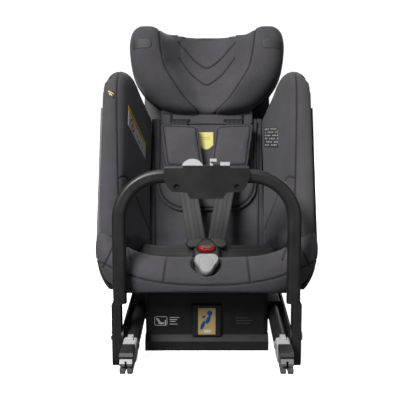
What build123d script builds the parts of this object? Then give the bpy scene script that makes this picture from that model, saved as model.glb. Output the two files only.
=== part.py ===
from build123d import *
import math
import os

# Rear-facing child car seat on a low ISOFIX base.  Millimetres.
# Origin: centre of the base's rest face.  +X to the right for someone facing the foot end,
# +Y from the foot end to the head end, +Z up.

# --- base ---
BASE_HALF_W = 125.0
BASE_FRONT_Y = -190.0
BASE_REAR_Y = 190.0
TRAY_TOP_Z = 30.0
BASE_WALL = 4.0
SKIRT = 12.0  # how far the tray's lower lip stands out in front
COLUMN_HALF_W = 30.0
COLUMN_TOP_Z = 97.0
COLUMN_PROUD = 8.0
LABEL_T = 0.6
SCREW_R = 2.5
SCREW_HEAD_R = 4.5
SCREW_POST_R = 8.0
SCREW_PLACES = [(x, y) for x in (-105, 105) for y in (-160, 0, 160)]

# --- recline: the shell rocks in a cylindrical cradle about this axis ---
ROCK_Y = -60.0
ROCK_Z = 555.0
SHELL_R = 446.0  # underside of the shell
RUNNER_R = 450.0  # outer face of the runners under the shell
RAIL_R = 450.5  # inner face of the rails on the base
COVER_R = 456.0  # top of the base cover
RUNNER_X = 75.0
RUNNER_W = 14.0

# --- ISOFIX arms ---
ISO_X = 140.0
ISO_Z = 64.5
TUBE_R = 14.5
TUBE_WALL = 2.5
TUBE_FRONT_Y = -318.0
TUBE_REAR_Y = 30.0
HOUSING_FRONT_Y = -144.0
HOUSING_REAR_Y = 186.0
RUN_CLEAR = 0.08  # radial running clearance
BAR_R = 3.1  # seat for the 6 mm anchor bar
BAR_Y = -384.0
CLAW_TIP_Y = -405.0
CLAW_HALF_W = 11.0
CLAW_BACK_Y = -350.0
CLAW_Z0 = 50.0
CLAW_Z1 = 78.0
JAW_HALF_T = 1.5
JAW_Y = -368.0
JAW_Z = 56.0
JAW_PIN_R = 2.5

# --- anti-rebound arch: local frame x, h up along the arch, t forward ---
ARCH_PIVOT_Y = -288.0
ARCH_PIVOT_Z = 72.0
ARCH_LEAN = 7.0
ARCH_W = 25.0  # width of the arch's section
ARCH_X = 162.5
ARCH_TOP_H = 302.0
ARCH_BEND_R = 81.0
ARCH_SLEEVE_H = 64.0
ARM_IN_X = 160.0
ARM_OUT_X = 177.0
ARM_LOW_H = -57.0
ARM_DEPTH = 30.0
ARCH_END_X = 62.0  # each half of the arch ends inside the control box
PIN_R = 5.0
CORE_R = 9.0
CORE_WALL = 1.6

# --- control box at the top of the arch ---
BOX_LOW_H = 262.0
BOX_TOP_H = 322.0
BOX_REAR_T = -24.0
BOX_FLANK_T = 17.0  # face of the two flanks
BOX_FRONT_T = 26.0  # face of the raised centre
BOX_WALL = 3.0
BOX_SCREW_X = (-55.0, 55.0)
BOX_SCREW_H = 284.0
BOX_BOSS_R = 7.0
WHEEL_X = -26.0
WHEEL_H = 312.0
WHEEL_R = 22.0
WHEEL_HALF_T = 5.0
WHEEL_AXLE_R = 3.0
WHEEL_RIBS = 36
LEVER_X = 16.0
BUTTON_X = 34.0

# --- shell: local frame x, a up along the back, n forward from the back's surface ---
RECLINE = 27.0
BIGHT_Y = -20.0
BIGHT_Z = 165.0
SHELL_HALF_W = 213.0
SHELL_WALL = 5.0
FOAM_IN_X = 190.0
WING_IN_X = 172.0
WING_N = 190.0  # depth of the side wings
WING_TOP_A = 330.0
BACK_TOP_A = 430.0
BACK_N = -55.0  # outer face of the back
LIP_Y = -226.0
GAP = 0.4  # between neighbouring soft parts
PAN_Z = 152.0
BOTTOM_CORNER_R = 95.0
BACK_CORNER_R = 60.0
SHOULDER_R = 40.0
CROWN_HALF_W = 150.0
CROWN_R = 60.0
FOAM_FRONT_N = -2.0
WING_LOW_A = -40.0
BACK_PAD_TOP_A = 284.0
ROLL_HALF_W = 205.0
KNOB_R = 26.0
KNOB_WELL_R = 28.0

# --- headrest ---
HEAD_HALF_W = 168.0
HEAD_LOW_A = 309.0
HEAD_TOP_A = 470.0
HEAD_N = 151.0
POST_X = 60.0
POST_N = -28.0
POST_R = 5.0
CARRIER_LOW_A = 302.0

# --- harness ---
STRAP_W = 38.0
STRAP_T = 2.0
PAD_LOW_A = 176.0
PAD_TOP_A = 268.0
PAD_X = 54.0
PAD_HALF_W = 42.0
BUTTON_HALF = 10.0

os.makedirs("parts", exist_ok=True)

BACK = Plane(
    origin=(0, BIGHT_Y, BIGHT_Z),
    x_dir=(1, 0, 0),
    z_dir=(0, -math.cos(math.radians(RECLINE)), math.sin(math.radians(RECLINE))),
)
ARCH = Plane(
    origin=(0, ARCH_PIVOT_Y, ARCH_PIVOT_Z),
    x_dir=(1, 0, 0),
    z_dir=(0, -math.cos(math.radians(ARCH_LEAN)), math.sin(math.radians(ARCH_LEAN))),
)
KNOB_AT = Plane(origin=(0, -240, 200), x_dir=(1, 0, 0), z_dir=(0, -0.6, 0.8)).location
BUCKLE_AT = Plane(origin=(0, -142, 192), x_dir=(1, 0, 0), z_dir=(0, -0.5, 0.866)).location


def save(name, shape):
    export_step(shape, f"parts/{name}.step")


def block(x0, x1, y0, y1, z0, z1):
    """A box between two corners."""
    box = Box(x1 - x0, y1 - y0, z1 - z0)
    return Pos((x0 + x1) / 2, (y0 + y1) / 2, (z0 + z1) / 2) * box


def rod_x(x0, x1, y, z, radius):
    """A cylinder along X."""
    return Pos((x0 + x1) / 2, y, z) * Rot(0, 90, 0) * Cylinder(radius, abs(x1 - x0))


def rod_y(x, y0, y1, z, radius):
    """A cylinder along Y."""
    return Pos(x, (y0 + y1) / 2, z) * Rot(90, 0, 0) * Cylinder(radius, abs(y1 - y0))


def rod_z(x, y, z0, z1, radius):
    """A cylinder along Z."""
    return Pos(x, y, (z0 + z1) / 2) * Cylinder(radius, abs(z1 - z0))


def on_back(a, n):
    """World Y, Z of a point given by its height up the back and its distance in front of it."""
    c, s = math.cos(math.radians(RECLINE)), math.sin(math.radians(RECLINE))
    return (BIGHT_Y + s * a - c * n, BIGHT_Z + c * a + s * n)


def side_profile(points, half_w):
    """Extrude a closed Y, Z outline equally to both sides."""
    outline = Polyline(*[(0, y, z) for y, z in points], close=True)
    return extrude(Plane.YZ * make_face(Plane.YZ.to_local_coords(outline)), half_w, both=True)


def mirror_x(shape):
    return mirror(shape, about=Plane.YZ)


def pair(name, shape):
    """Save a part on the +X side and its mirror image, each in its own node."""
    save(f"{name}_left", mirror_x(shape))
    save(f"{name}_right", shape)


def twins(name, shape):
    """Save a small part and its mirror image as one group of two solids."""
    save(name, Compound([mirror_x(shape), shape]))


def rocker(radius, half_w, x=0.0):
    """A disc about the recline axis."""
    return rod_x(x - half_w, x + half_w, ROCK_Y, ROCK_Z, radius)


# ---------------------------------------------------------------- base
def base_tray():
    rise = 10.0
    side = side_profile(
        [
            (BASE_FRONT_Y - SKIRT, 0),
            (BASE_REAR_Y, 0),
            (BASE_REAR_Y, TRAY_TOP_Z),
            (BASE_FRONT_Y, TRAY_TOP_Z),
            (BASE_FRONT_Y - SKIRT, TRAY_TOP_Z - rise),
        ],
        BASE_HALF_W,
    )
    tray = side - block(
        -BASE_HALF_W + BASE_WALL,
        BASE_HALF_W - BASE_WALL,
        BASE_FRONT_Y + BASE_WALL,
        BASE_REAR_Y - BASE_WALL,
        BASE_WALL,
        TRAY_TOP_Z + 1,
    )
    for x, y in SCREW_PLACES:
        tray += rod_z(x, y, BASE_WALL, TRAY_TOP_Z, SCREW_POST_R)
        tray -= rod_z(x, y, -1, 8, SCREW_HEAD_R + 0.5)
        tray -= rod_z(x, y, 7, TRAY_TOP_Z + 1, SCREW_R + 0.2)
    return tray


def base_cover():
    top = 140.0
    slot_half = 9.0
    outer = block(-BASE_HALF_W, BASE_HALF_W, BASE_FRONT_Y, BASE_REAR_Y, TRAY_TOP_Z, top)
    outer = fillet(outer.edges().filter_by(Axis.Z), 14)
    inner = block(
        -BASE_HALF_W + BASE_WALL,
        BASE_HALF_W - BASE_WALL,
        BASE_FRONT_Y + BASE_WALL,
        BASE_REAR_Y - BASE_WALL,
        TRAY_TOP_Z - 1,
        top - BASE_WALL,
    )
    deck = COVER_R + BASE_WALL
    cover = (outer - rocker(COVER_R, 200)) - (inner - rocker(deck, 200))
    for x, y in SCREW_PLACES:
        post = rod_z(x, y, TRAY_TOP_Z, top - BASE_WALL + 1, SCREW_POST_R) - rocker(deck - 1, 200)
        cover = cover + post
    for x, y in SCREW_PLACES:
        cover -= rod_z(x, y, TRAY_TOP_Z - 1, 46, SCREW_R + 0.2)
    # long slots that the crossbar of the arms travels in
    cover -= block(-200, -BASE_HALF_W + 10, -2, 170, ISO_Z - slot_half, ISO_Z + slot_half)
    cover -= block(BASE_HALF_W - 10, 200, -2, 170, ISO_Z - slot_half, ISO_Z + slot_half)
    return cover


def base_column():
    front = BASE_FRONT_Y - COLUMN_PROUD
    column = block(-COLUMN_HALF_W, COLUMN_HALF_W, front, BASE_FRONT_Y, TRAY_TOP_Z + 0.2, COLUMN_TOP_Z)
    edges = column.edges().filter_by(Axis.Z).sort_by(Axis.Y)[:2]
    top_edge = column.edges().filter_by(Axis.X).sort_by(Axis.Y)[:2].sort_by(Axis.Z)[-1]
    return fillet([*edges, top_edge], 4)


def cradle_rail():
    ring = rocker(COVER_R, RUNNER_W / 2, RUNNER_X) - rocker(RAIL_R, RUNNER_W, RUNNER_X)
    keep = block(0, 200, -148, 120, 0, 200)
    return ring & keep


def isofix_housing():
    """Side pod that guides one arm, with a bush at its mouth."""
    inner = BASE_HALF_W
    outer = ISO_X + TUBE_R + 1.0
    pod = block(inner, outer, HOUSING_FRONT_Y, HOUSING_REAR_Y, ISO_Z - 20, ISO_Z + 20)
    pod = fillet(pod.edges().filter_by(Axis.Y).sort_by(Axis.X)[-2:], 5)
    pod -= rod_y(ISO_X, HOUSING_FRONT_Y + 20, HOUSING_REAR_Y - 4, ISO_Z, TUBE_R + 0.6)
    pod -= rod_y(ISO_X, HOUSING_FRONT_Y - 1, HOUSING_FRONT_Y + 21, ISO_Z, TUBE_R + RUN_CLEAR)
    pod -= block(inner - 1, ISO_X, -2, 170, ISO_Z - 9, ISO_Z + 9)
    return pod


def arch_bracket():
    x0, x1 = ISO_X + TUBE_R + 1.2, ARM_IN_X - 0.5
    nose = 16.0
    z0, z1 = ARCH_PIVOT_Z - nose, ARCH_PIVOT_Z + nose
    plate = block(x0, x1, ARCH_PIVOT_Y, HOUSING_FRONT_Y + 90, z0, z1)
    plate += rod_x(x0, x1, ARCH_PIVOT_Y, ARCH_PIVOT_Z, nose)
    plate -= rod_x(x0 - 1, x1 + 1, ARCH_PIVOT_Y, ARCH_PIVOT_Z, PIN_R)
    return plate


def arch_pin():
    pin = rod_x(ISO_X + TUBE_R + 1.2, ARM_OUT_X + 0.6, ARCH_PIVOT_Y, ARCH_PIVOT_Z, PIN_R)
    head = rod_x(ARM_OUT_X + 0.6, ARM_OUT_X + 3.0, ARCH_PIVOT_Y, ARCH_PIVOT_Z, 8)
    return pin + head


def screw(x, y):
    head = rod_z(x, y, 4.0, 7.0, SCREW_HEAD_R)
    shank = rod_z(x, y, 7.0, 42.0, SCREW_R)
    recess = Pos(x, y, 4.5) * Box(1.2, 6, 2)
    return head + shank - recess


save("base_tray", base_tray())
save("base_cover", base_cover())
save("base_column", base_column())
twins("cradle_rails", cradle_rail())
twins("isofix_housings", isofix_housing())
twins("arch_brackets", arch_bracket())
twins("arch_pins", arch_pin())
save("base_screws", Compound([screw(x, y) for x, y in SCREW_PLACES]))
label = block(47, 109, BASE_FRONT_Y - LABEL_T, BASE_FRONT_Y, 44, 77)
twins("base_labels", label)
column_label = block(
    -17.5,
    17.5,
    BASE_FRONT_Y - COLUMN_PROUD - LABEL_T,
    BASE_FRONT_Y - COLUMN_PROUD,
    34,
    91,
)
save("column_label", column_label)


# ---------------------------------------------------------------- ISOFIX carriage
def isofix_tube():
    tube = rod_y(ISO_X, TUBE_FRONT_Y, TUBE_REAR_Y, ISO_Z, TUBE_R)
    return tube - rod_y(ISO_X, TUBE_FRONT_Y - 1, TUBE_REAR_Y + 1, ISO_Z, TUBE_R - TUBE_WALL)


def isofix_crossbar():
    bar = block(-ISO_X, ISO_X, TUBE_REAR_Y - 20, TUBE_REAR_Y - 4, ISO_Z - 6, ISO_Z + 6)
    for x in (-ISO_X, ISO_X):
        bar -= rod_y(x, TUBE_REAR_Y - 60, TUBE_REAR_Y + 10, ISO_Z, TUBE_R)
    return bar


def connector_body():
    """Plastic end housing that joins the tube to the steel claw."""
    half = 13.0
    body = block(ISO_X - half, ISO_X + half, CLAW_BACK_Y, TUBE_FRONT_Y, 47, 82)
    body = fillet(body.edges().filter_by(Axis.Y), 5)
    collar = rod_y(ISO_X, TUBE_FRONT_Y, TUBE_FRONT_Y + 6, ISO_Z, TUBE_R + 1)
    ridge = block(ISO_X - 5, ISO_X + 5, -330, TUBE_FRONT_Y + 6, 78, 86)
    body = body + collar + fillet(ridge.edges().filter_by(Axis.X).sort_by(Axis.Z)[-2:], 2)
    return body - rod_y(ISO_X, TUBE_FRONT_Y, TUBE_FRONT_Y + 10, ISO_Z, TUBE_R)


def isofix_claw():
    """Steel box that the anchor bar enters from the front."""
    claw = block(ISO_X - CLAW_HALF_W, ISO_X + CLAW_HALF_W, CLAW_TIP_Y, CLAW_BACK_Y, CLAW_Z0, CLAW_Z1)
    claw = chamfer(claw.edges().filter_by(Axis.X).sort_by(Axis.Y)[:2], 6)
    claw -= block(ISO_X - 20, ISO_X + 20, CLAW_TIP_Y - 1, BAR_Y, ISO_Z - BAR_R, ISO_Z + BAR_R)
    claw -= rod_x(ISO_X - 20, ISO_X + 20, BAR_Y, ISO_Z, BAR_R)
    pocket = JAW_HALF_T + 0.5
    claw -= block(ISO_X - pocket, ISO_X + pocket, CLAW_TIP_Y - 1, CLAW_BACK_Y - 2, 40, CLAW_Z1 - 3)
    claw -= rod_x(ISO_X - 20, ISO_X + 20, JAW_Y, JAW_Z, JAW_PIN_R)
    return claw


def jaw():
    """Hook plate that closes in front of the anchor bar."""
    reach = BAR_R + 0.4
    ring = rod_x(ISO_X - JAW_HALF_T, ISO_X + JAW_HALF_T, BAR_Y, ISO_Z, BAR_R + 5.5)
    ring -= rod_x(ISO_X - 5, ISO_X + 5, BAR_Y, ISO_Z, reach)
    ring -= block(ISO_X - 5, ISO_X + 5, BAR_Y - reach, BAR_Y + 30, ISO_Z, ISO_Z + 30)
    ring -= block(ISO_X - 5, ISO_X + 5, BAR_Y, BAR_Y + 30, ISO_Z - reach, ISO_Z + 30)
    hub = rod_x(ISO_X - JAW_HALF_T, ISO_X + JAW_HALF_T, JAW_Y, JAW_Z, 5)
    web = block(ISO_X - JAW_HALF_T, ISO_X + JAW_HALF_T, BAR_Y, JAW_Y, JAW_Z - 4.5, ISO_Z - reach - 0.2)
    return ring + hub + web - rod_x(ISO_X - 5, ISO_X + 5, JAW_Y, JAW_Z, JAW_PIN_R + RUN_CLEAR)


def release_cap():
    cap = block(ISO_X - 12, ISO_X + 12, -398, -357, CLAW_Z1 + 0.4, 87)
    cap = chamfer(cap.edges().filter_by(Axis.X).sort_by(Axis.Y)[:2].sort_by(Axis.Z)[-1], 5)
    return fillet(cap.edges().filter_by(Axis.Y).sort_by(Axis.Z)[-2:], 2)


pair("isofix_tube", isofix_tube())
save("isofix_crossbar", isofix_crossbar())
pair("connector_body", connector_body())
pair("isofix_claw", isofix_claw())
pair("claw_jaw", jaw())
twins("jaw_pins", rod_x(ISO_X - CLAW_HALF_W, ISO_X + CLAW_HALF_W, JAW_Y, JAW_Z, JAW_PIN_R))
pair("release_cap", release_cap())


# ---------------------------------------------------------------- arch
def arch_sweep(section):
    """One half of the arch: up the leg, round the bend and into the control box."""
    leg_top = ARCH_TOP_H - ARCH_BEND_R
    flat = ARCH_X - ARCH_BEND_R
    leg = Line((ARCH_X, ARCH_SLEEVE_H), (ARCH_X, leg_top))
    bend = TangentArc((ARCH_X, leg_top), (flat, ARCH_TOP_H), tangent=(0, 1))
    top = Line((flat, ARCH_TOP_H), (ARCH_END_X, ARCH_TOP_H))
    start = Plane(origin=(ARCH_X, ARCH_SLEEVE_H, 0), x_dir=(1, 0, 0), z_dir=(0, 1, 0))
    return ARCH * sweep(start * section, path=Wire([leg, bend, top]))


def arch_sleeve():
    return arch_sweep(RectangleRounded(ARCH_W, ARCH_W, 8) - Circle(CORE_R))


def arch_core():
    return arch_sweep(Circle(CORE_R) - Circle(CORE_R - CORE_WALL))


def arch_arm():
    """Flat bar between the sleeve and the pivot, rounded at its foot."""
    half = ARM_DEPTH / 2
    foot_h = ARM_LOW_H + half
    arm = block(ARM_IN_X, ARM_OUT_X, foot_h, ARCH_SLEEVE_H, -half, half)
    foot = Rot(0, 90, 0) * Cylinder(half, ARM_OUT_X - ARM_IN_X)
    arm += Pos((ARM_IN_X + ARM_OUT_X) / 2, foot_h, 0) * foot
    arm -= Rot(0, 90, 0) * Cylinder(PIN_R + RUN_CLEAR, 500)
    return ARCH * arm


def box_outline(shrink=0.0):
    half = [
        (76 - shrink, BOX_TOP_H - shrink),
        (79 - shrink, 303),
        (72 - shrink, 284),
        (64 - shrink / 2, 275 + shrink),
        (36 - shrink / 2, 273 + shrink),
        (30 - shrink / 2, BOX_LOW_H + shrink),
    ]
    points = half + [(-x, h) for x, h in reversed(half)]
    return make_face(Polyline(*points, close=True))


def pod_outline():
    half = [(43, BOX_TOP_H), (42, 303), (30, BOX_LOW_H)]
    points = half + [(-x, h) for x, h in reversed(half)]
    return make_face(Polyline(*points, close=True))


def control_box():
    """Whole box: two flanks beside a raised centre, hollow, with room for its controls."""
    flanks = Pos(0, 0, BOX_REAR_T) * extrude(box_outline(), BOX_FLANK_T - BOX_REAR_T)
    flanks = fillet(flanks.edges().filter_by(Axis.X).sort_by(Axis.Y)[-2:], 5)
    centre = Pos(0, 0, BOX_FLANK_T) * extrude(pod_outline(), BOX_FRONT_T - BOX_FLANK_T, taper=22)
    solid = flanks + centre
    room = BOX_FLANK_T - BOX_REAR_T - 2 * BOX_WALL
    solid -= Pos(0, 0, BOX_REAR_T + BOX_WALL) * extrude(box_outline(BOX_WALL), room)
    for x0, x1 in ((-100, -60), (60, 100)):
        solid -= block(x0, x1, ARCH_TOP_H - 14, ARCH_TOP_H + 13, -13, 13)
    wheel_room = WHEEL_R + 2
    slot_half = WHEEL_HALF_T + 1
    solid -= block(WHEEL_X - wheel_room, WHEEL_X + wheel_room, WHEEL_H, 340, -slot_half, slot_half)
    solid -= block(LEVER_X - 11, LEVER_X + 9, 310, 340, -3, 3)
    solid -= block(BUTTON_X - 9.5, BUTTON_X + 9.5, 310, 340, -5.5, 5.5)
    for x in BOX_SCREW_X:
        at = Pos(x, BOX_SCREW_H, 0)
        solid += at * Pos(0, 0, -3) * Cylinder(BOX_BOSS_R, 2 * BOX_FLANK_T)
        solid -= at * Pos(0, 0, BOX_FLANK_T) * Cylinder(5, 18)
        solid -= at * Cylinder(2.1, 24)
    return solid


def box_half(t0, t1):
    return ARCH * (control_box() & block(-200, 200, 200, 400, t0, t1))


def box_screw(x):
    head = Pos(x, BOX_SCREW_H, BOX_FLANK_T - 7) * Cylinder(4.4, 4)
    shank = Pos(x, BOX_SCREW_H, BOX_FLANK_T - 18) * Cylinder(2, 20)
    return ARCH * (head + shank)


def thumbwheel():
    """Wheel with a grooved rim, half sunk in the top of the box."""
    wheel = Pos(WHEEL_X, WHEEL_H, 0) * Cylinder(WHEEL_R, 2 * WHEEL_HALF_T)
    for i in range(WHEEL_RIBS):
        angle = 2 * math.pi * i / WHEEL_RIBS
        x = WHEEL_X + WHEEL_R * math.cos(angle)
        h = WHEEL_H + WHEEL_R * math.sin(angle)
        wheel -= Pos(x, h, 0) * Cylinder(0.9, 12)
    wheel -= Pos(WHEEL_X, WHEEL_H, 0) * Cylinder(WHEEL_AXLE_R + RUN_CLEAR, 40)
    return ARCH * wheel


def wheel_axle():
    length = BOX_FLANK_T - BOX_REAR_T - 2 * BOX_WALL
    middle = (BOX_FLANK_T + BOX_REAR_T) / 2
    return ARCH * (Pos(WHEEL_X, WHEEL_H, middle) * Cylinder(WHEEL_AXLE_R, length))


def arch_lever():
    """L-shaped slider: a thumb tab on a flat foot."""
    tab = block(LEVER_X - 10, LEVER_X - 4, 312, 334, -2.2, 2.2)
    foot = block(LEVER_X - 10, LEVER_X + 3, 329, 334, -2.2, 8)
    return ARCH * (tab + fillet(foot.edges().filter_by(Axis.Y), 1.5))


def arch_button():
    button = block(BUTTON_X - 9, BUTTON_X + 9, 312, 328, -5, 5)
    button = fillet(button.edges().filter_by(Axis.Y), 1.5)
    for i in range(6):
        button -= block(BUTTON_X - 7 + 2.6 * i, BUTTON_X - 6 + 2.6 * i, 327, 330, -6, 6)
    return ARCH * button


pair("arch_sleeve", arch_sleeve())
twins("arch_core", arch_core())
pair("arch_arm", arch_arm())
save("control_box_front", box_half(0, 100))
save("control_box_rear", box_half(-100, 0))
save("control_box_screws", Compound([box_screw(x) for x in BOX_SCREW_X]))
save("thumbwheel", thumbwheel())
save("thumbwheel_axle", wheel_axle())
save("arch_lever", arch_lever())
save("arch_button", arch_button())


# ---------------------------------------------------------------- shell
def tub(inset):
    """Outer form of the bucket, moved in by a wall thickness."""
    half_w = SHELL_HALF_W - inset
    under = SHELL_R - inset
    rear = BACK_N + inset
    front = LIP_Y + inset
    far = 60.0
    c = ROCK_Z - math.sqrt(under**2 - (front - ROCK_Y) ** 2)
    top_a = BACK_TOP_A + (far if inset else 0)
    wing_n = WING_N + (far if inset else 0)
    wing_a = WING_TOP_A + (far if inset else 0)
    lip_z = PAN_Z - 2
    profile = [(front, c - 100), (front, lip_z)]
    if inset:
        profile.append((front - far, lip_z))
    profile += [
        on_back(-60, wing_n),
        on_back(wing_a - 45, wing_n),
        on_back(wing_a, wing_n - 45),
        on_back(wing_a + 12, 40),
        on_back(top_a, -8),
        on_back(top_a, rear),
        on_back(-60, rear),
        (on_back(-60, rear)[0], c - 100),
    ]
    solid = side_profile(profile, half_w)
    solid = solid & rocker(under, 300)
    across_back = RectangleRounded(2 * half_w, 700, BACK_CORNER_R - inset)
    channel = BACK * (Pos(0, -300, 0) * extrude(Plane.XZ * Pos(0, rear + 350) * across_back, -1000))
    across_floor = RectangleRounded(2 * half_w, 700, BOTTOM_CORNER_R - inset)
    floor_z = ROCK_Z - under + 350
    floor = Pos(0, -500, 0) * extrude(Plane.XZ * Pos(0, floor_z) * across_floor, -1000)
    solid = solid & channel & floor
    if inset:
        return solid
    # seen square to the back: rounded shoulders below a narrower rounded top
    shoulders = RectangleRounded(2 * SHELL_HALF_W, 2 * WING_TOP_A + 24, SHOULDER_R)
    crown = RectangleRounded(2 * CROWN_HALF_W, 2 * BACK_TOP_A, CROWN_R)
    return solid & BACK * extrude(shoulders + crown, 400, both=True)


def shell_bucket():
    bucket = tub(0) - tub(SHELL_WALL)
    for x in (-RUNNER_X, RUNNER_X):
        runner = rocker(RUNNER_R, RUNNER_W / 2 - 1, x) - rocker(SHELL_R - 1, RUNNER_W, x)
        bucket += runner & block(-200, 200, -170, 30, 0, 200)
    return bucket


def back_slab(x0, x1, a0, a1, n0, n1):
    return BACK * block(x0, x1, a0, a1, n0, n1)


def shell_foam():
    """Energy-absorbing liner between the bucket and the pads."""
    outer = tub(SHELL_WALL + GAP)
    outer &= back_slab(-300, 300, -400, WING_TOP_A - 10, -60, WING_N - 14)
    outer &= block(-300, 300, LIP_Y + 12, 400, 0, 700)
    room = back_slab(-FOAM_IN_X, FOAM_IN_X, -400, 600, FOAM_FRONT_N, 400)
    room &= block(-300, 300, -400, 400, PAN_Z - 1, 800)
    foam = outer - room
    foam -= back_slab(-FOAM_IN_X, FOAM_IN_X, 296, 600, -60, 100)
    for x in (-POST_X, POST_X):
        foam -= BACK * (Pos(x, 200, POST_N) * Rot(90, 0, 0) * Cylinder(9, 220))
    return foam


def wing_pad():
    """Padded cover of one side wing: a wall pad that wraps over the liner's front edge."""
    wall = block(WING_IN_X, FOAM_IN_X - GAP, WING_LOW_A, WING_TOP_A, 20, WING_N + 10)
    rim_top_a = WING_TOP_A - 40
    rim = block(FOAM_IN_X - GAP, SHELL_HALF_W - 0.5, WING_LOW_A, rim_top_a, WING_N + 1, WING_N + 10)
    edge_x = SHELL_HALF_W - SHELL_WALL - 1
    top = block(FOAM_IN_X - GAP, edge_x, WING_TOP_A - 9, WING_TOP_A, 20, WING_N - 50)
    return (BACK * (wall + rim + top)) & block(0, 300, -400, 400, PAN_Z + 5, 700)


def side_rail():
    """Metal strip along the outside of a side wing."""
    rail = block(SHELL_HALF_W + 0.6, 220, -36, 262, 150, 168)
    rail = fillet(rail.edges().filter_by(Axis.Y), 2)
    return BACK * rail


def rail_screws():
    head = Rot(0, 90, 0) * Cylinder(6, 0.6)
    x = SHELL_HALF_W + 0.3
    places = [(side * x, a) for side in (-1, 1) for a in (-15, 110, 240)]
    return Compound([BACK * (Pos(x, a, 159) * head) for x, a in places])


def front_roll():
    """Padded roll under the child's knees, wrapped over the front lip of the bucket."""
    rear = LIP_Y - 6
    low_z = 134.0
    top_z = 204.0
    belly = [(-244, low_z + 6), (-262, 153), (-270, 172), (-262, 192), (-244, top_z - 2)]
    outside = [(rear, low_z), *belly, (rear, top_z)]
    slope = [(-212, top_z), (-196, 196), (-190, PAN_Z + 14), (-190, PAN_Z + 1)]
    inside = [(rear, top_z), *slope, (rear, PAN_Z + 1)]
    bow = Pos(0, 330, 150) * Cylinder(600, 300)
    corners = Pos(0, -170, 0) * extrude(RectangleRounded(2 * ROLL_HALF_W, 200, 55), 300)
    front = side_profile(outside, ROLL_HALF_W) & bow & corners
    roll = front + side_profile(inside, FOAM_IN_X - 3)
    return roll - KNOB_AT * Pos(0, 0, -20) * Cylinder(KNOB_WELL_R + 1, 60)


def knob_outline(radius):
    """Three rounded lobes."""
    reach = 0.36 * radius
    lobes = Sketch()
    for degrees in (90, 210, 330):
        angle = math.radians(degrees)
        lobes += Pos(reach * math.cos(angle), reach * math.sin(angle)) * Circle(0.62 * radius)
    return lobes


def adjuster_knob():
    knob = Pos(0, 0, -4) * extrude(knob_outline(KNOB_R), 12)
    return KNOB_AT * fillet(knob.faces().sort_by(Axis.Z)[-1].edges(), 2.5)


def adjuster_housing():
    cup = Pos(0, 0, -17) * Cylinder(KNOB_WELL_R, 22) - Pos(0, 0, -9) * Cylinder(KNOB_WELL_R - 1.2, 16)
    return KNOB_AT * cup


def seat_pad():
    pad = block(-FOAM_IN_X + 26, FOAM_IN_X - 26, -188, -32, PAN_Z, BIGHT_Z)
    pad = fillet(pad.edges().filter_by(Axis.Z), 20)
    return pad - BUCKLE_AT * Pos(0, -30, 0) * Box(STRAP_W + 6, 90, 12)


def back_pad():
    pad = block(-WING_IN_X + 2, WING_IN_X - 2, 26, BACK_PAD_TOP_A, -1, 17)
    pad = fillet(pad.edges().filter_by(Axis.Z).sort_by(Axis.Y)[:2], 60)
    return BACK * pad


def buckle_body():
    shape = Pos(0, 0, -11) * extrude(RectangleRounded(46, 58, 12), 22)
    shape = fillet(shape.faces().sort_by(Axis.Z)[-1].edges(), 3)
    hole = 2 * (BUTTON_HALF + 0.3)
    return BUCKLE_AT * (shape - Pos(0, 4, 6) * Box(hole, hole, 28))


def buckle_button():
    button = Pos(0, 4, 4) * Box(2 * BUTTON_HALF, 2 * BUTTON_HALF, 17)
    return BUCKLE_AT * fillet(button.faces().sort_by(Axis.Z)[-1].edges(), 1.5)


def crotch_strap():
    """From the underside of the buckle down to the pan."""
    return BUCKLE_AT * Pos(0, -40, 0) * Box(STRAP_W, 20, STRAP_T)


def harness_strap():
    """From the bottom of a shoulder pad down to the buckle."""
    a0, n0 = 6.0, 95.0
    a1, n1 = PAD_LOW_A - 2, 53.0
    length = math.hypot(a1 - a0, n1 - n0)
    tilt = math.degrees(math.atan2(n1 - n0, a1 - a0))
    x0, x1 = 23.0, PAD_X - 8
    strap = Box(STRAP_W, length, STRAP_T)
    lean = math.degrees(math.atan2(x1 - x0, length))
    place = Pos((x0 + x1) / 2, (a0 + a1) / 2, (n0 + n1) / 2) * Rot(tilt, 0, 0) * Rot(0, 0, -lean)
    return BACK * (place * strap)


def lap_strap():
    """From the side of the buckle to the bottom of the side wing."""
    start = Vector(31, -132, 182)
    finish = Vector(160, -72, 178)
    run = finish - start
    along = Plane(origin=(start + finish) / 2, x_dir=run, z_dir=run.cross(Vector(0, 0.9, 0.45)))
    return along.location * Box(run.length, STRAP_W, STRAP_T)


def head_guides():
    """Sleeves in the back that the headrest posts slide in."""
    guides = []
    for x in (-POST_X, POST_X):
        tube = Cylinder(8.5, 180) - Cylinder(POST_R + RUN_CLEAR, 200)
        guides.append(BACK * (Pos(x, 200, POST_N) * Rot(90, 0, 0) * tube))
    return Compound(guides)


save("shell_bucket", shell_bucket())
save("shell_foam", shell_foam())
pair("wing_pad", wing_pad())
twins("side_rails", side_rail())
save("rail_screws", rail_screws())
save("front_roll", front_roll())
save("adjuster_housing", adjuster_housing())
save("adjuster_knob", adjuster_knob())
save("seat_pad", seat_pad())
save("back_pad", back_pad())
save("buckle_body", buckle_body())
save("buckle_button", buckle_button())
save("crotch_strap", crotch_strap())
twins("harness_straps", harness_strap())
twins("lap_straps", lap_strap())
save("head_guides", head_guides())


# ---------------------------------------------------------------- headrest
def across(half):
    """Face across the head from the +X half of its outline, given as x, n points."""
    points = half + [(-x, n) for x, n in reversed(half)]
    return Plane.XZ * make_face(Polyline(*points, close=True))


def headrest_shell():
    """Moulded channel behind the cushion."""
    length = HEAD_TOP_A - HEAD_LOW_A - 20
    outside = [(154, -10), (HEAD_HALF_W, 12), (HEAD_HALF_W, HEAD_N - 25)]
    inside = [(150.2, -4.4), (162.9, 17.6), (162.9, HEAD_N)]
    channel = extrude(across(outside), -length) - extrude(across(inside), -length)
    return BACK * (Pos(0, HEAD_LOW_A + 10, 0) * channel)


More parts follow.
